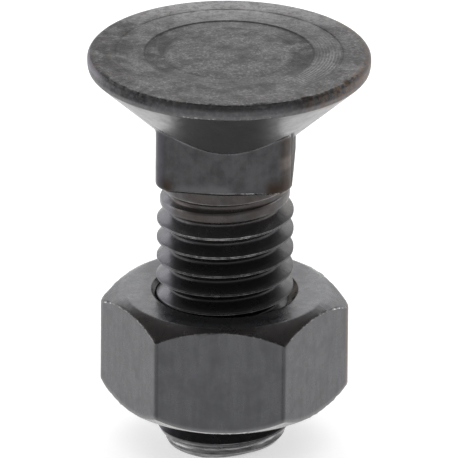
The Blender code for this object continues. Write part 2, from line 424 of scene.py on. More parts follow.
def thread_section(turns, size, play=0.0, seam=0.03):
    """Outline of one pitch, crest to crest across the groove: arrays (points, turns) of radius and offset."""
    turns = np.asarray(turns, float)
    blank, crest = size.shank / 2, size.crest / 2
    half, crown = size.pitch / 8, size.pitch / 2
    flank = (size.pitch - size.pitch / 8 - size.pitch / 4) / 2
    full_root = crest - flank / FLANK
    bite = 1 - (1 - np.clip(turns, 0, 1)) ** BITE
    root = blank - (blank - full_root) * bite
    round_root = size.pitch * ROOT_ROUND
    dip = round_root / 2

    def side(ridge, share):
        edge = half + (ridge - root) * FLANK * (1.5 - 0.5 * bite)
        soft = SHOULDER * (1 - share)
        points = [(0, root - dip * bite)]
        for tilt in np.radians([20, 40]):
            points.append((round_root * math.sin(tilt), root - dip * bite * (2 * math.cos(tilt) - 1)))
        return points + [
            (half, root),
            ((half + edge) / 2, (root + ridge) / 2),
            (edge - 0.03 * share - soft * 0.5, ridge - 0.052 * share - soft * 0.45),
            (edge + 0.012 + soft * 0.2, ridge - 0.016 * share - soft * 0.12),
            (edge + 0.034 + soft, ridge),
            (edge + (crown - edge) * 0.62, ridge - 0.006 * share),
            (crown, ridge - seam * share),
        ]

    above, below = turns - 0.5, turns + 0.5
    upper = side(blank + (crest - blank) * crest_share(above), crest_share(above))
    lower = side(blank + (crest - blank) * crest_share(below), crest_share(below))
    profile = [(-w, r) for w, r in reversed(lower)] + upper[1:]
    offsets = np.array([np.broadcast_to(w, turns.shape) for w, r in profile])
    radii = np.array([r for w, r in profile]) + play * 2
    return radii, offsets * (1 - play / size.pitch)


def thread(name, size, bottom, top, play=0.0, seam=0.03):
    """Shank with one long helical groove: one pitch of its outline, screwed up round the axis, and capped."""
    start = size.overall - size.neck_reach - size.start_drop
    lead = math.degrees(size.start_angle) / 360
    last = math.ceil((start - bottom) / size.pitch)
    rounds = last + math.ceil((top - start) / size.pitch) + 1
    full_r, full_w = (column[:, 0] for column in thread_section([20.0], size, play, seam))
    full_w = full_w * (size.pitch / (full_w[-1] - full_w[0]))
    first = start - size.pitch * (last + lead)
    thing = trace(name, [(r, first + w) for w, r in zip(full_w, full_r)])
    bpy.ops.object.mode_set(mode="OBJECT")
    finish_modifier(
        thing, "SCREW", axis="Z", angle=TURN, screw_offset=size.pitch, iterations=rounds,
        steps=size.steps, render_steps=size.steps, use_normal_calculate=True,
    )

    places, turned, _ = points_of(thing)
    grooves = (start - places[:, 2]) / size.pitch - (size.start_angle - turned) / TURN
    offset = (np.round(grooves + 1e-9) - grooves) * size.pitch
    turns = (start - places[:, 2] + offset) / size.pitch
    near = turns < 3
    radii, offsets = thread_section(turns[near], size, play, seam)
    share = np.interp(offset[near], full_w, np.arange(len(full_w)))
    low = np.clip(np.floor(share).astype(int), 0, len(full_w) - 2)
    part = share - low
    column = np.arange(near.sum())
    new_r = radii[low, column] * (1 - part) + radii[low + 1, column] * part
    new_w = offsets[low, column] * (1 - part) + offsets[low + 1, column] * part
    middle = places[near, 2] - offset[near]
    places[near] = around_axis(new_r, turned[near], middle + new_w)
    put_points(thing, places)
    cap_ends(thing, first, first + size.pitch * rounds)
    return thing


def cap_ends(thing, low, high):
    """Close both open ends of the screwed wall on points of the axis."""
    pick(thing)
    bpy.ops.object.mode_set(mode="EDIT")
    weld()
    bpy.ops.mesh.select_mode(type="EDGE")
    for end in (low, high):
        bpy.ops.object.mode_set(mode="EDIT")
        bpy.ops.mesh.select_all(action="DESELECT")
        bpy.ops.mesh.select_non_manifold(
            extend=False, use_wire=False, use_boundary=True, use_multi_face=False,
            use_non_contiguous=False, use_verts=False,
        )
        bpy.ops.object.mode_set(mode="OBJECT")
        mesh = thing.data
        for edge in mesh.edges:
            if edge.select:
                height = mesh.vertices[edge.vertices[0]].co.z
                edge.select = abs(height - end) < abs(height - (low + high - end))
        bpy.ops.object.mode_set(mode="EDIT")
        bpy.ops.mesh.select_mode(type="EDGE")
        bpy.ops.mesh.extrude_region_move()
        bpy.ops.transform.resize(value=(0, 0, 0), center_override=(0, 0, end))
        bpy.ops.mesh.remove_doubles(threshold=WELD)
    weld()
    bpy.ops.object.mode_set(mode="OBJECT")


TIP_LEAN = 0.1  # slope of the sheared end, which rises towards +X
TIP_LOW, TIP_RISE, TIP_FADE = -1.5, 0.38, 1.2  # mm, where it starts to rise, how far, and where it fades out
TIP_SLOPE = 1.75  # rise of the tip's chamfer for each mm outwards
SHANK_BELOW, SHANK_ABOVE = -2.2, 0.9  # mm, how far the shank is made past the tip and up into the neck


def tip_outline(size):
    """What the die leaves of the thread: end face, chamfer with its tool marks, and free space above."""
    outside, end = size.crest / 2 + 2, size.tip / 2
    high = size.overall - size.neck_reach + 2
    chamfer = []
    for count, reach in enumerate(np.arange(0.14, 1.3, 0.09)):
        chamfer.append((end + reach, (reach - 0.05) * TIP_SLOPE + 0.01 * (count % 2)))
    face = [(end + 0.1, 0.08), (end + 0.04, 0.02), (end - 0.04, 0), (end * 0.66, 0), (end * 0.33, 0), (0, 0)]
    wall = [(0, high), (outside, high), (outside, (outside - end - 0.05) * TIP_SLOPE)]
    return wall + chamfer[::-1] + face


def build_bolt(size):
    head = head_outline(size)
    outline = head + [(x, z) for x, y, z in neck_rings(size, np.array([0.0]))[:, 0]]
    bolt = turn("bolt_forging", outline, size.stations)
    square_off(bolt, outline, len(head), size)
    shank = thread("shank", size, SHANK_BELOW, size.overall - size.neck_reach + SHANK_ABOVE)
    tip = turn("tip_form", tip_outline(size), size.steps)
    places = points_of(tip)[0]
    rise = np.clip((places[:, 0] - TIP_LOW) * TIP_LEAN, 0, TIP_RISE)
    places[:, 2] += rise * np.clip(1 - places[:, 2] / TIP_FADE, 0, 1)
    put_points(tip, places)
    combine(shank, tip, "INTERSECT")
    combine(bolt, shank, "UNION")
    return to_metres(bolt, SHARP)


# The nut


SIXTH = math.pi / 3
NUT_STATIONS = 252  # six sides of 42 steps
CROWN = 0.13  # for each mm, how the corner chamfer steepens outwards
EDGE_JAG, EDGE_WEAR = 0.11, 0.05  # mm, how far the chamfers' edges wander up and down, and are worn back


def corner_of(size, angles):
    """Half width of the flat nearest each angle, its corner's rounding, and where that begins.

    The last value is how far the angle swings from the flat's middle.
    """
    side = np.round((angles + math.pi / 2) / SIXTH)
    swing = angles + math.pi / 2 - side * SIXTH
    beside = side + np.where(swing < 0, -1, 1)
    half = np.where(side % 3 == 0, size.pressed / 2, size.flats / 2)
    next_half = np.where(beside % 3 == 0, size.pressed / 2, size.flats / 2)
    at_side = (side % 3 != 0) & (beside % 3 != 0)
    corner = np.where(at_side, size.side_corner, size.corner)
    begins = (next_half - corner - (half - corner) * math.cos(SIXTH)) / math.sin(SIXTH)
    return half, corner, begins, np.abs(swing)


def hexagon(size, angles):
    """Distance from the axis to the hexagon with rounded corners, flats facing the front and the back."""
    half, corner, begins, swing = corner_of(size, angles)
    reach = (half - corner) * np.cos(swing) + begins * np.sin(swing)
    inside = np.maximum(reach**2 - (half - corner) ** 2 - begins**2 + corner**2, 0)
    return np.where(half * np.tan(swing) <= begins, half / np.cos(swing), reach + np.sqrt(inside))


def chamfer_drop(size, radius):
    """Depth of the crowned corner chamfer beyond the bearing ring."""
    out = np.maximum(radius - size.bearing / 2, 0)
    return out * math.tan(size.chamfer) + out**2 * CROWN


def nut_angles(size):
    """Angles of the steps round the nut, close together at its corners, from the corner at +X."""
    angles = []
    for side in range(6):
        start, end = side * SIXTH, (side + 1) * SIXTH
        half, _, begins, _ = corner_of(size, np.array([start + 0.01, end - 0.01]))
        swings = SIXTH / 2 - np.arctan2(begins, half)
        angles += list(start + np.linspace(0, swings[0], 5))
        flat = np.linspace(start + swings[0] * 1.25, end - swings[1] * 1.25, 33)
        angles += list(flat) + list(end + np.linspace(-swings[1], 0, 5)[:-1])
    return np.array(angles)


def nut_outline(size, angles):
    """Countersinks, bearing rings, corner chamfers and flats at each angle: arrays (rings, angles)."""
    flat, bore, mouth = size.bearing / 2, size.bore / 2, size.mouth / 2
    tall = size.high - size.low
    reach = hexagon(size, angles)
    rings = [(bore, tall / 2), (bore, (mouth - bore) * 0.9 + 0.05)]
    rings += [(mouth - 0.05, 0.06), (mouth - 0.01, 0.012), (mouth + 0.05, 0)]
    rings += [(radius, 0) for radius in np.linspace(mouth + 0.15, flat - 0.12, 7)]
    rings += [(flat - 0.04, 0.004), (flat + 0.03, 0.014), (flat + 0.1, chamfer_drop(size, flat + 0.1))]
    for share in (0.12, 0.3, 0.5, 0.7, 0.88):
        radius = flat + 0.12 + (reach - 0.07 - flat - 0.12) * share
        rings.append((radius, chamfer_drop(size, radius)))
    for inset, sunk in ((0.045, 0.0), (0.02, 0.008), (0.006, 0.022), (0.0, 0.045)):
        rings.append((reach - inset, chamfer_drop(size, reach - inset) + sunk))
    edge = chamfer_drop(size, reach) + 0.25
    for share in (0, 0.12, 0.35, 0.65, 1):
        rings.append((reach, edge + (tall / 2 - edge) * share))
    radii, depths = (np.array([np.broadcast_to(v, angles.shape) for v in part]) for part in zip(*rings))
    radii = np.concatenate([radii, radii[-2:0:-1]])
    heights = np.concatenate([tall - depths, depths[-2:0:-1]])
    return radii, heights + size.low


def shape_nut(thing, outline, size):
    """Move the turned ring out to the hexagon, and break its edges as a press leaves them."""
    places, turned, radius = points_of(thing)
    row = nearest_row(radius, places[:, 2], outline)
    step = np.round(turned / TURN * NUT_STATIONS).astype(int) % NUT_STATIONS
    crowded = nut_angles(size)[step]
    even = step * TURN / NUT_STATIONS
    outward = np.clip((np.array(outline)[row, 0] - size.mouth / 2) / 1.5, 0, 1)
    turned = even + ((crowded - even + math.pi) % TURN - math.pi) * outward
    radii, heights = nut_outline(size, turned)
    column = np.arange(len(places))
    radius, height = radii[row, column], heights[row, column]
    places = around_axis(radius, turned, height)

    reach = hexagon(size, turned)
    drop = chamfer_drop(size, reach)
    for rim, sign in ((size.high - drop, -1), (size.low + drop, 1)):
        edge = np.exp(-(((height - rim) / 0.08) ** 2)) * (radius > reach - 0.06)
        places[:, 2] += edge * roughen(places, 0.42, EDGE_JAG, 7 + sign)
        radius = radius - edge * np.abs(roughen(places, 0.3, EDGE_WEAR, 11 + sign))
    swell = roughen(places, 3.5, 0.012, 6)
    radius = np.minimum(radius + swell * (radius > size.bearing / 2), reach)
    put_points(thing, around_axis(radius, turned, places[:, 2]))


def build_nut(size, bolt):
    outline = [(radius[0], height[0]) for radius, height in zip(*nut_outline(size, np.array([math.pi / 2])))]
    nut = turn("nut_hexagon", outline + outline[:1], NUT_STATIONS)
    shape_nut(nut, outline, size)
    tap = thread("tap", bolt, size.low - 3, size.high + 2, play=size.play, seam=0.0)
    combine(nut, tap, "DIFFERENCE")
    return to_metres(nut, NUT_SHARP)


# Materials


class Wiring:
    """Short ways to wire nodes. A value may be a number, a colour or a socket; a mask runs from 0 to 1.

    A tuple that begins with a socket stands for the smooth step that span makes of it.
    """

    def __init__(self, holder):
        holder.use_nodes = True
        self.nodes = holder.node_tree.nodes
        self.links = holder.node_tree.links

    def put(self, socket, value):
        if isinstance(value, tuple) and isinstance(value[0], bpy.types.NodeSocket):
            value = self.span(*value)
        if isinstance(value, bpy.types.NodeSocket):
            self.links.new(value, socket)
        elif hasattr(value, "__len__"):
            socket.default_value = (*value, 1)[: len(socket.default_value)]
        else:
            socket.default_value = value

    def node(self, kind, *values, named=None, **settings):
        """Outputs of a new shader node, whose inputs are filled in order or by name."""
        made = self.nodes.new("ShaderNode" + kind)
        for name, setting in settings.items():
            setattr(made, name, setting)
        for socket, value in zip(made.inputs, values):
            self.put(socket, value)
        for name, value in (named or {}).items():
            self.put(made.inputs[name], value)
        return made.outputs

    def maths(self, operation, *values):
        return self.node("Math", *values, operation=operation)[0]

    def product(self, first, *others):
        for other in others:
            first = self.maths("MULTIPLY", first, other)
        return first

    def total(self, first, *others):
        for other in others:
            first = self.maths("ADD", first, other)
        return first

    def distance(self, across, along):
        """Distance from the origin in the plane of two values."""
        return self.maths("SQRT", self.total(self.product(across, across), self.product(along, along)))

    def span(self, value, low, high, to_low=0.0, to_high=1.0):
        """Smooth step of a value between two limits."""
        return self.node("MapRange", value, low, high, to_low, to_high, interpolation_type="SMOOTHSTEP")[0]

    def band(self, value, low, high, soft):
        """1 between two limits, fading over the soft width on either side."""
        rise = self.span(value, low - soft, low + soft)
        return self.product(rise, self.span(value, high - soft, high + soft, 1, 0))

    def lay(self, colour, paint, *masks):
        """The colour with a paint laid over it, as far as the product of the masks says."""
        layers = {"A": colour, "B": paint}
        return self.node("Mix", self.product(*masks), named=layers, data_type="RGBA")["Result"]


class Finish(Wiring):
    """One material. Its places and sizes are in millimetres on the piece."""

    def __init__(self, name):
        self.material = bpy.data.materials.new(name)
        super().__init__(self.material)
        self.surface = self.nodes["Principled BSDF"]
        self.place = self.stretched(self.node("TexCoord")["Object"], (1 / MM, 1 / MM, 1 / MM))
        self.x, self.y, self.z = self.node("SeparateXYZ", self.place)
        self.aside = self.maths("ABSOLUTE", self.x)
        self.radius = self.distance(self.x, self.y)

    def stretched(self, place, scale):
        return self.node("Mapping", place, named={"Scale": scale})[0]

    def polar(self, radius, across, around):
        """Place as (radius / across, angle * around, 0), for marks that run round the axis."""
        swing = self.maths("ARCTAN2", self.y, self.x)
        return self.node("CombineXYZ", self.maths("DIVIDE", radius, across), self.product(swing, around))[0]

    def grain(self, size, detail=3, roughness=0.55, place=None):
        """Noise with swells of that size, 0 to 1."""
        settings = {"Scale": 1 / size, "Detail": detail, "Roughness": roughness}
        return self.node("TexNoise", place or self.place, named=settings)["Fac"]

    def oxide(self, colour, roughness, *bumps):
        """Fill in the surface. The bumps are layers of (height, depth in millimetres), one on the other."""
        inputs = self.surface.inputs
        self.put(inputs["Base Color"], colour)
        self.put(inputs["Roughness"], roughness)
        inputs["Metallic"].default_value = METAL
        inputs["Specular Tint"].default_value = EDGE_TINT
        layer = {}
        for height, depth in bumps:
            layer.update({"Height": height, "Distance": depth * MM})
            layer["Normal"] = self.node("Bump", named=layer)[0]
        self.put(inputs["Normal"], layer["Normal"])
        return self.material


METAL = 0.87  # share of the finish that reflects as metal; the rest is the matt of the oxide
EDGE_TINT = (0.86, 0.86, 0.86, 1)  # keeps the oxide dark where it is seen along its surface

# Rings on the face: from and to in mm from its centre, and how soft the edges are
STAINED_RING = (5.3, 7.2, 0.3)
INNER_SCORE = (5.6, 5.8, 0.08)
DISH_SCORE = (FACE_DISH - 0.12, FACE_DISH + 0.06, 0.07)
OUTER_SCORE = (FACE_RING - 0.08, FACE_RING + 0.06, 0.06)
LINED_RING = (FACE_DISH + 0.2, FACE_RING - 0.2, 0.2)

# Heights on the thread, in mm
NUT_SHADE = (21.4, 18.6)  # where the grooves fall into the shade above the nut
INSIDE_NUT = (10.5, 12)  # where they are plain again further down
CREST_WEAR_AND_GLINT = (13.5, 22.5, 0.25, 1)  # from and to, and the share of bare steel with painted glints at each, least near the nut

# Tones that lie on one place only
COOL_EDGE_SHADE = (0.045, 0.043, 0.056)  # painted shade, bluish, on the neck's left edge
WARM_EDGE_SHADE = (0.06, 0.047, 0.04)  # painted shade, brownish, on the neck's right edge
WARM_BAND = (0.15, 0.125, 0.11)  # a paler band across that edge
RIGHT_FLAT_SHADE = (0.05, 0.044, 0.041)  # painted shade, dark brown, on the neck's flat towards +X
RIM_GLEAM = (0.2, 0.19, 0.215)  # the rim at the far left
GROOVE_LIP_HIGHLIGHT = (0.22, 0.21, 0.205)  # painted highlight on the lip where the first groove runs in
# painted highlight on the thread's left side
LEFT_THREAD_HIGHLIGHT = (0.18, 0.178, 0.2)
# painted highlight on the thread's right side
RIGHT_THREAD_HIGHLIGHT = (0.16, 0.152, 0.145)
NUT_DULL = (0.12, 0.11, 0.1)  # specks on the nut's sides
NUT_SLOPE_SHADE = (0.055, 0.049, 0.046)  # painted shade on the nut's upper chamfers in front


def tinted(colour, share):
    return [part * share for part in colour]


class ForgingFinish(Finish):
    """The bolt's material, with masks of the forging's parts and the heights of their limits."""

    def __init__(self, size):
        super().__init__("bolt_black_oxide")
        self.mottle = self.grain(1.1, 4, 0.6)
        self.fine = self.grain(0.22, 3, 0.6)
        self.speckle = self.grain(0.42, 5, 0.72)
        self.patches = self.grain(2.1, 5, 0.66)
        self.across = self.maths("SUBTRACT", self.x, size.head_offset)
        self.off_middle = self.maths("ABSOLUTE", self.across)
        self.reach = self.distance(self.across, self.y)
        self.top = size.overall
        self.low = self.top - size.land
        self.under = self.top - size.neck_reach
        self.face = self.span(self.z, self.top - 0.16, self.top - 0.08)
        self.off_face = self.maths("SUBTRACT", 1, self.face)
        self.rim = self.product((self.z, self.low - 0.12, self.low), self.off_face)

        steep = 1 / math.tan(size.countersink / 2)
        fall = self.product(self.maths("SUBTRACT", size.head / 2 - CONE_START, self.reach), steep)
        above_cone = self.maths("SUBTRACT", self.z, self.maths("SUBTRACT", self.low, fall))
        beyond = self.maths("MAXIMUM", self.aside, self.maths("ABSOLUTE", self.y))
        half = size.neck / 2
        cone = self.product((above_cone, -0.5, -0.1), (self.z, self.low, self.low - 0.1))
        self.cone = self.product(cone, (beyond, half + 0.08, half + 0.26))
        off_cone = self.maths("SUBTRACT", 1, self.cone)
        self.neck = self.product(off_cone, (self.z, self.under - 0.3, self.under))
        self.fillet = self.product(self.band(beyond, half + 0.04, half + 0.25, 0.04), self.neck)
        right = self.product((self.x, half - 0.14, half - 0.04), self.neck)
        self.right_flat = self.product(right, (self.z, self.low - 3.5, self.low - 4))


def neck_coat(f, colours):
    """Drawn and rolled oxide of neck, blank and thread, with painted shade and highlights, and the satin
    countersink over them.
    """
    oxide, under = colours.smooth, f.under
    coat = f.lay(oxide, tinted(oxide, 0.7), (f.mottle, 0.35, 0.7))
    drawn = f.span(f.grain(0.6, 3, 0.6, f.stretched(f.place, (1, 1, 0.15))), 0.45, 0.7)
    coat = f.lay(coat, tinted(oxide, 1.6), drawn, f.neck, 0.16)

    front = f.span(f.y, -4, -5.5)
    low = f.product(front, f.band(f.z, under - 0.4, under + 1.3, 0.7))
    sides = f.total((f.x, 3.1, 4.2), (f.x, -3.8, -5))
    coat = f.lay(coat, tinted(colours.rust, 0.2), low, sides, (f.patches, 0.28, 0.48), 0.9)
    pale = f.product(f.band(f.x, -3.8, 0.6, 0.7), f.band(f.z, under, under + 0.8, 0.4))
    coat = f.lay(coat, tinted(oxide, 1.6), pale, front, 0.6)
    # Painted shade on the neck's rounded left and right edges, bluish at the left, brownish at the right with
    # a paler band
    coat = f.lay(coat, COOL_EDGE_SHADE, (f.x, -4.8, -5.5), f.neck, 0.7)
    warm = f.lay(WARM_EDGE_SHADE, WARM_BAND, f.band(f.z, under + 2.3, under + 3.4, 0.3))
    coat = f.lay(coat, warm, (f.x, 4.6, 5.3), f.neck, (f.patches, 0.3, 0.6, 0.35, 0.8))
    # Painted shade, dark brown, on the neck's flat towards +X
    coat = f.lay(coat, RIGHT_FLAT_SHADE, f.right_flat, (f.patches, 0.35, 0.6, 0.9, 0.55))
    # Painted highlight along the fillet between the countersink and the neck
    coat = f.lay(coat, tinted(oxide, 2.1), f.fillet, (f.patches, 0.25, 0.6, 0.5, 1))
    blank = f.product(f.band(f.z, under - 3.4, under, 0.4), (f.patches, 0.3, 0.62, 0.05, 0.25))
    coat = f.lay(coat, tinted(colours.rust, 0.55), blank)

    dark = tinted(colours.satin, 0.6)
    # Painted light: the countersink lighter at the sides and darker in front
    satin = f.lay(tinted(colours.satin, 0.7), tinted(colours.satin, 1.38), (f.aside, 2.8, 5))
    satin = f.lay(satin, dark, (f.mottle, 0.35, 0.7, 0, 0.3))
    satin = f.lay(satin, dark, (f.speckle, 0.5, 0.66, 0, 0.35))
    return f.lay(coat, satin, f.cone)


def face_coat(f, colours):
    """Turned face: fine rings round the centre, scored and stained, pale behind and brown at the edge."""
    turned, stain = colours.turned, colours.stain
    ringed = f.grain(1, 4, 0.65, f.polar(f.reach, 0.3, 1.6))
    coat = f.lay(turned, tinted(turned, 0.66), (ringed, 0.3, 0.72))
    coat = f.lay(coat, tinted(turned, 0.4), (f.speckle, 0.42, 0.6, 0, 0.7))
    coat = f.lay(coat, tinted(turned, 1.9), (f.fine, 0.5, 0.66, 0, 0.65))
    coat = f.lay(coat, tinted(turned, 0.42), (f.patches, 0.45, 0.66, 0, 0.7))
    coat = f.lay(coat, tinted(turned, 2.3), (f.y, 4.5, 10.8), (f.speckle, 0.62, 0.44, 0.5, 1))
    stained = f.product(f.band(f.reach, *STAINED_RING), (f.off_middle, 3.5, 6.2))
    coat = f.lay(coat, stain, stained, (f.grain(1.1, 5, 0.72), 0.36, 0.52))
    coat = f.lay(coat, stain, (f.across, -7.2, -9.8), (f.patches, 0.4, 0.56), 0.55)

    outer = f.product(f.band(f.reach, *OUTER_SCORE), (f.patches, 0.35, 0.55, 0.1, 0.8))
    scored = f.total(f.band(f.reach, *DISH_SCORE), outer)
    coat = f.lay(coat, tinted(stain, 0.7), scored, 0.72)
    passes = f.span(f.maths("SINE", f.product(f.reach, TURN / TURNING_PITCH)), 0, 0.9)
    lined = f.product(passes, f.band(f.reach, *LINED_RING), (f.across, -3, 6, 0.15, 0.8))
    coat = f.lay(coat, tinted(turned, 1.9), lined, (f.patches, 0.3, 0.55, 1, 0.3))
    coat = f.lay(coat, stain, f.band(f.reach, *INNER_SCORE), (f.patches, 0.4, 0.55, 0.1, 0.6))
    brown = f.product((f.grain(0.6, 4, 0.7), 0.54, 0.68), (f.reach, 9.6, 10.2))
    return f.lay(coat, tinted(colours.rust, 0.55), brown, 0.6)


def rim_coat(f, colours, coat):
    """Scale on the rim, painted shade at its top and in front, its rubbed lower edge with a painted highlight
    and painted glints, and brown at the right.
    """
    top, low, oxide = f.top, f.low, colours.smooth
    scale = f.lay(tinted(oxide, 1.25), tinted(oxide, 1.65), (f.speckle, 0.45, 0.62))
    # Painted shade: the scale darker towards the top of the rim
    scale = f.lay(scale, tinted(oxide, 0.5), (f.z, top - 0.4, low + 0.1, 0.2, 0))
    coat = f.lay(coat, scale, f.rim)
    gleam = f.product((f.x, -9.8, -11.2), (f.z, top - 0.8, top - 0.4), f.off_face)
    coat = f.lay(coat, RIM_GLEAM, gleam, 0.8)
    # Painted shade on the rim in front, at the left and the right
    rim_front_shade = f.product(f.band(f.z, top - 0.85, top - 0.1, 0.12), (f.y, -4, -6))
    rim_front_shade = f.product(rim_front_shade, f.band(f.off_middle, 6, 10.6, 1.2))
    coat = f.lay(coat, tinted(oxide, 0.25), rim_front_shade, (f.speckle, 0.35, 0.6, 0.9, 0.6))
    # Lighter, speckled band along the rim's lower edge: rubbed steel and a painted highlight
    edge = f.product(f.band(f.z, low - 0.02, low + 0.34, 0.1), (f.speckle, 0.38, 0.6, 0.25, 0.9))
    coat = f.lay(coat, tinted(colours.turned, 1.3), edge, f.rim)
    # Painted glints along the rim's lower edge in front, in the bare steel colour
    sparks = f.product(f.band(f.z, low - 0.02, low + 0.14, 0.03), f.rim, (f.off_middle, 5, 3.5))
    coat = f.lay(coat, colours.worn_and_glint, sparks, (f.grain(0.5, 3, 0.7), 0.54, 0.66, 0, 0.5))
    right = f.product((f.x, 6, 10.5), (f.reach, 11.2, 12))
    return f.lay(coat, colours.rust, right, (f.grain(0.7, 5, 0.75), 0.42, 0.6), 0.62)


def thread_coat(f, colours, size, coat):
    """The thread: crests of bare steel with painted glints, dark grooves in the nut's shade, cheeks and
    groove lip with painted highlights, a painted glint on the neck's lower edge and painted light on the tip.
    """
    under, blank, over, end = f.under, size.shank / 2, size.crest / 2, size.tip / 2
    torn = f.grain(0.5, 4, 0.75)
    # Painted highlight on the lip where the first groove runs in
    lip = f.band(f.radius, blank - 0.11, blank - 0.03, 0.01)
    coat = f.lay(coat, GROOVE_LIP_HIGHLIGHT, lip, f.band(f.z, under - 1.6, under - 0.3, 0.1), (torn, 0.4, 0.6, 0.4, 1))
    shade = f.product((f.z, *NUT_SHADE), (f.aside, 5, 3.8), (f.z, *INSIDE_NUT, 0, 0.75))
    coat = f.lay(coat, tinted(colours.smooth, 0.3), shade, (f.radius, over - 0.08, over - 0.04, 1, 0.55))
    threaded = f.span(f.z, under - 0.6, under - 1.2)
    # Painted highlights on the thread's left and right sides
    coat = f.lay(coat, LEFT_THREAD_HIGHLIGHT, threaded, (f.x, -4.1, -4.9, 0, 0.75))
    coat = f.lay(coat, RIGHT_THREAD_HIGHLIGHT, threaded, (f.x, 4.4, 5.4, 0, 0.4))
    # Crests of bare steel with painted glints, fading out towards the sides
    crest = f.product((f.radius, over - 0.025, over), (f.z, under - 0.9, under - 1.4), (f.z, *CREST_WEAR_AND_GLINT))
    crest = f.product(crest, (f.grain(0.6, 4, 0.75), 0.42, 0.56, 0.3, 1))
    coat = f.lay(coat, colours.worn_and_glint, crest, (f.aside, 1.8, 4.2, 1, 0.08))
    glint = f.product(f.band(f.z, under + 0.02, under + 0.2, 0.03), (f.y, -5.2, -5.4))
    coat = f.lay(coat, colours.worn_and_glint, glint, (f.x, 1.2, 2.6, 0.1, 1), (torn, 0.42, 0.55))
    # Painted light on the tip's chamfer, broken by its turned marks
    tip = f.product((f.z, 1.8, 1.4), (f.radius, end + 1.3, end + 0.7))
    layered = f.grain(1.2, 3, 0.6, f.stretched(f.place, (1, 1, 6)))
    return f.lay(coat, tinted(colours.turned, 3), tip, (layered, 0.35, 0.6, 0.45, 1))


def bolt_finish(colours, size):
    """Black oxide on the forging: turned face, scaled rim, satin countersink, drawn neck, rolled thread."""
    f = ForgingFinish(size)
    coat = f.lay(neck_coat(f, colours), face_coat(f, colours), f.face)
    coat = thread_coat(f, colours, size, rim_coat(f, colours, coat))
    rough = f.total(
        f.span(f.mottle, 0.3, 0.7, 0.2, 0.27), f.product(f.face, (f.patches, 0.3, 0.7, 0.14, 0.24)),
        f.product(f.rim, 0.17), (f.z, f.under, f.under - 1, 0, 0.06),
        f.product(f.cone, 0.08), f.product(f.right_flat, 0.35),
    )
    lines = f.product(f.grain(1, 2, 0.5, f.polar(f.reach, 0.11, 1.2)), f.face)
    pits = f.product(f.speckle, f.total(f.rim, f.face))
    return f.oxide(coat, rough, (f.grain(1.6, 2), 0.04), (f.fine, 0.006), (lines, 0.02), (pits, 0.04))


def nut_finish(colours, size):
    """Black oxide on the nut: drawn flats with upright marks, turned chamfers, painted shade and painted
    highlights on its edges.
    """
    f = Finish("nut_black_oxide")
    oxide = colours.nut
    upright = f.grain(0.7, 3, 0.6, f.stretched(f.place, (1, 1, 0.16)))
    mottle = f.grain(1.4, 4, 0.6)
    speckle = f.grain(0.4, 4, 0.7)
    coat = f.lay(oxide, tinted(oxide, 0.86), (upright, 0.35, 0.7))
    coat = f.lay(coat, tinted(oxide, 0.68), (mottle, 0.45, 0.7, 0, 0.45))
    coat = f.lay(coat, NUT_DULL, (f.aside, 5.2, 6), (speckle, 0.45, 0.65, 0, 0.5))
    coat = f.lay(coat, colours.rust, (f.x, 10.3, 10.8), (mottle, 0.25, 0.5, 0.4, 1), 0.5)
    # Painted shade along the nut's front corners
    seam = f.band(f.aside, 5.3, 5.62, 0.12)
    coat = f.lay(coat, tinted(oxide, 0.5), seam, (f.y, -7, -9), 0.45)
    lit = f.product((f.aside, 6, 8.5), (f.z, size.high - 0.35, size.high - 0.15))
    coat = f.lay(coat, tinted(oxide, 1.3), lit, (speckle, 0.35, 0.6, 1, 0.4))
    # Painted shade in the countersink and the bore, browner towards +X
    bore_shade = f.lay(tinted(oxide, 0.3), tinted(colours.rust, 0.3), (f.x, 2, 5))
    bore_shade = f.lay(bore_shade, tinted(colours.rust, 0.12), (speckle, 0.45, 0.6, 0, 0.6))
    mouth = size.mouth / 2
    coat = f.lay(coat, bore_shade, (f.radius, mouth + 0.06, mouth), 0.92)

    out = f.maths("SUBTRACT", f.radius, size.bearing / 2)
    steepness = f.total(f.product(out, CROWN), math.tan(size.chamfer))
    drop = f.product(f.maths("MAXIMUM", out, 0), steepness)
    above_low = f.maths("SUBTRACT", f.maths("SUBTRACT", f.z, size.low), drop)
    below_high = f.maths("SUBTRACT", f.maths("SUBTRACT", size.high, f.z), drop)
    outside = f.span(out, 0.1, 0.3)
    # Painted highlight along the lower edges, strongest in front, in the bare steel colour; the lower
    # chamfers a little lighter too
    coat = f.lay(coat, colours.worn_and_glint, (above_low, 0.08, 0.02), outside, (f.aside, 7.5, 4.5, 0.15, 0.75))
    coat = f.lay(coat, colours.worn_and_glint, (above_low, 0.5, 0.05), outside, 0.14)
    shade = f.product((f.radius, 8.2, 7.6), (f.y, -5, -6.5))
    coat = f.lay(coat, tinted(oxide, 0.4), shade, (f.z, size.high - 0.55, size.high - 0.35), 0.6)
    coat = f.lay(coat, NUT_SLOPE_SHADE, (below_high, 0.08, 0.02), (out, 0, 0.15), (f.y, -2, -6, 0, 0.8))
    deep = f.maths("ABSOLUTE", f.y)
    skewed = f.total(f.product(f.aside, math.sin(SIXTH)), f.product(deep, math.cos(SIXTH)))
    across = f.maths("MAXIMUM", f.total(deep, (size.flats - size.pressed) / 2), skewed)
    half = size.flats / 2
    # Painted glints along the nut's upper edges, strongest at the sides
    upper = f.product((below_high, 0.12, 0.06), (across, half - 0.09, half - 0.04))
    upper = f.product(upper, (f.grain(0.5, 4, 0.75), 0.48, 0.6), (f.aside, 8.8, 9.6, 0.16, 0.8))
    middle = (size.low + size.high) / 2
    coat = f.lay(coat, colours.worn_and_glint, upper, (f.z, middle, middle + 0.5))
    rough = f.span(mottle, 0.3, 0.7, 0.24, 0.33)
    return f.oxide(coat, rough, (upright, 0.012), (f.grain(1.8, 2), 0.03), (f.grain(0.2, 3, 0.6), 0.004))


# The studio


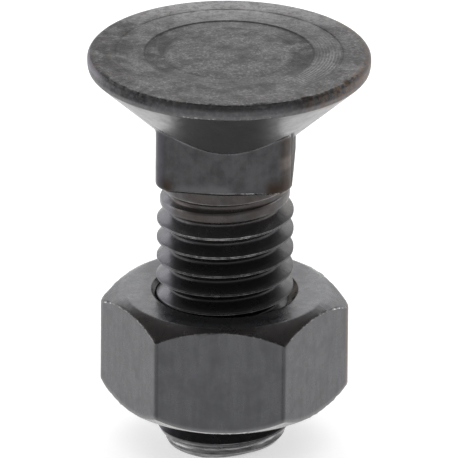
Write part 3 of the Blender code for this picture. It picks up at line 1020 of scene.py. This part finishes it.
FLOOR_SIZE = 6  # m
FLOOR_COLOUR = (0.8, 0.8, 0.8)
FLOOR_WHITE = 0.45  # light that the floor adds for the eye
FLOOR_GLOSS = (-19, -11, 0, 0.36)  # from and to, mm in front of the axis, and the light for gloss at each
WORLD_DEPTH = (-0.7, 0.3, 0.24, 0.56)  # gloss sees 0.24 in front and 0.56 behind, between these directions
WORLD_HEIGHT = (0.42, 0.62, 1.0, 0.36)  # and all of it level, a share overhead


def seen(wires, rays):
    """1 for what the eye sees, straight or through glass."""
    return wires.maths("MAXIMUM", rays["Is Camera Ray"], rays["Is Transmission Ray"])


def floor_finish():
    """Pale floor, lit and shadowed as it is, that adds white for the eye, and for gloss from the bolt on."""
    f = Finish("pale_floor")
    f.nodes.remove(f.surface)
    rays = f.node("LightPath")
    gloss = f.product(rays["Is Glossy Ray"], f.span(f.y, *FLOOR_GLOSS))
    white = f.total(f.product(seen(f, rays), FLOOR_WHITE), gloss)
    card = f.node("BsdfDiffuse", FLOOR_COLOUR)[0]
    glow = f.node("Emission", (1, 1, 1), white)[0]
    f.put(f.nodes["Material Output"].inputs["Surface"], f.node("AddShader", card, glow)[0])
    return f.material


def build_floor():
    """Pale card that the bolt stands on."""
    bpy.ops.object.select_all(action="DESELECT")
    bpy.ops.mesh.primitive_plane_add(size=FLOOR_SIZE, location=(0, 0, 0))
    floor = bpy.context.object
    floor.name = "floor"
    floor.data.materials.append(floor_finish())


def build_world(ambient):
    """Even light, white to the eye; gloss sees a bright room behind and beside, dim in front and overhead."""
    world = bpy.data.worlds.new("studio")
    bpy.context.scene.world = world
    wires = Wiring(world)
    wires.nodes.clear()
    rays = wires.node("LightPath")
    sight = wires.node("SeparateXYZ", wires.node("TexCoord")["Generated"])
    room = wires.product(wires.span(sight["Y"], *WORLD_DEPTH), wires.span(sight["Z"], *WORLD_HEIGHT))
    even, gloss, white = (wires.node("Background", (1, 1, 1), light)[0] for light in (ambient, room, 1))
    lit = wires.node("MixShader", rays["Is Glossy Ray"], even, gloss)[0]
    wires.node("OutputWorld", wires.node("MixShader", seen(wires, rays), lit, white)[0])


LAMPS = (  # name, place in m, width and height in m, power in W
    ("top_soft_box", (0.0, 0.2, 0.32), (0.34, 0.26), 0.12),
    ("back_soft_box", (0.0, 0.55, 0.25), (0.9, 0.36), 0.9),
    ("left_soft_box", (-0.34, 0.05, 0.08), (0.3, 0.3), 0.34),
    ("right_soft_box", (0.34, 0.05, 0.08), (0.3, 0.3), 0.2),
)
LAMP_AIM = Vector((0, 0, 0.018))  # the middle of the bolt


def build_lamp(name, place, size, power):
    lamp = bpy.data.lights.new(name, "AREA")
    lamp.shape = "RECTANGLE"
    lamp.size, lamp.size_y = size
    lamp.energy = power
    thing = bpy.data.objects.new(name, lamp)
    bpy.context.scene.collection.objects.link(thing)
    thing.location = place
    thing.rotation_euler = (LAMP_AIM - Vector(place)).to_track_quat("-Z", "Y").to_euler()
    thing.visible_camera = False


FRAME = 458  # pixels, width and height of the picture
AIM_PIXEL = (225.05, 247.1)  # where the aim height on the axis falls in the frame, from its upper left


def build_camera(studio):
    """Camera at the photograph's angle; a small shift frames the bolt as there."""
    camera = bpy.data.objects.new("camera", bpy.data.cameras.new("camera"))
    bpy.context.scene.collection.objects.link(camera)
    bpy.context.scene.camera = camera
    across, up = studio.azimuth, studio.elevation
    back = Vector((math.sin(across) * math.cos(up), -math.cos(across) * math.cos(up), math.sin(up)))
    aim = Vector((0, 0, studio.aim_height))
    camera.location = aim + back * studio.distance
    turned = (-back).to_track_quat("-Z", "Y").to_matrix() @ Matrix.Rotation(studio.roll, 3, "Z")
    camera.rotation_euler = turned.to_euler()
    lens = camera.data
    lens.sensor_width = 36
    lens.lens = studio.scale / MM * studio.distance / FRAME * lens.sensor_width
    lens.shift_x = (FRAME / 2 - AIM_PIXEL[0]) / FRAME
    lens.shift_y = (AIM_PIXEL[1] - FRAME / 2) / FRAME
    lens.clip_start, lens.clip_end = 0.01, 50


# Operators, panel and registration


class PLOWBOLT_OT_forging(bpy.types.Operator):
    """Model the bolt: head, square neck and rolled thread in one forging"""

    bl_idname = "plow_bolt.forging"
    bl_label = "Model the Bolt"

    def execute(self, context):
        scene = context.scene
        size = millimetres(scene.plow_bolt_sizes)
        bolt = build_bolt(size)
        bolt.data.materials.clear()
        bolt.data.materials.append(bolt_finish(scene.plow_bolt_colours, size))
        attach(bolt, "bolt")
        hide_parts("plow_bolt")
        return {"FINISHED"}


class PLOWBOLT_OT_nut(bpy.types.Operator):
    """Model the hexagon nut with its own thread"""

    bl_idname = "plow_bolt.nut"
    bl_label = "Model the Nut"

    def execute(self, context):
        scene = context.scene
        size = millimetres(scene.plow_bolt_nut)
        size.low, size.high = NUT_LOW.z / MM, NUT_HIGH.z / MM
        nut = build_nut(size, millimetres(scene.plow_bolt_sizes))
        nut.data.materials.clear()
        nut.data.materials.append(nut_finish(scene.plow_bolt_colours, size))
        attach(nut, "nut")
        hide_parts("hex_nut")
        return {"FINISHED"}


class PLOWBOLT_OT_stage(bpy.types.Operator):
    """Lay the floor and set the light and the camera"""

    bl_idname = "plow_bolt.stage"
    bl_label = "Set the Stage"

    def execute(self, context):
        studio = context.scene.plow_bolt_studio
        build_floor()
        build_world(studio.ambient)
        for lamp in LAMPS:
            build_lamp(*lamp)
        build_camera(studio)
        context.scene.view_settings.view_transform = "Standard"
        return {"FINISHED"}


class PLOWBOLT_PT_sidebar(bpy.types.Panel):
    """Sizes, colours and steps of the plow bolt"""

    bl_label = "Plow Bolt"
    bl_idname = "PLOWBOLT_PT_sidebar"
    bl_space_type = "VIEW_3D"
    bl_region_type = "UI"
    bl_category = "Plow Bolt"

    def draw(self, context):
        steps = (
            ("plow_bolt_sizes", "plow_bolt.forging"),
            ("plow_bolt_nut", "plow_bolt.nut"),
            ("plow_bolt_colours", None),
            ("plow_bolt_studio", "plow_bolt.stage"),
        )
        for group_name, operator in steps:
            box = self.layout.box()
            group = getattr(context.scene, group_name)
            for name in group.__annotations__:
                box.prop(group, name)
            if operator:
                box.operator(operator)


GROUPS = {
    "plow_bolt_sizes": BoltSizes,
    "plow_bolt_nut": NutSizes,
    "plow_bolt_colours": OxideColours,
    "plow_bolt_studio": StudioSettings,
}
CLASSES = (*GROUPS.values(), PLOWBOLT_OT_forging, PLOWBOLT_OT_nut, PLOWBOLT_OT_stage, PLOWBOLT_PT_sidebar)


def register():
    for made in CLASSES:
        bpy.utils.register_class(made)
    for name, group in GROUPS.items():
        setattr(bpy.types.Scene, name, PointerProperty(type=group))


def unregister():
    for name in GROUPS:
        delattr(bpy.types.Scene, name)
    for made in reversed(CLASSES):
        bpy.utils.unregister_class(made)


def main():
    register()
    bpy.ops.plow_bolt.forging()
    bpy.ops.plow_bolt.nut()
    bpy.ops.plow_bolt.stage()


if __name__ == "__main__":
    main()
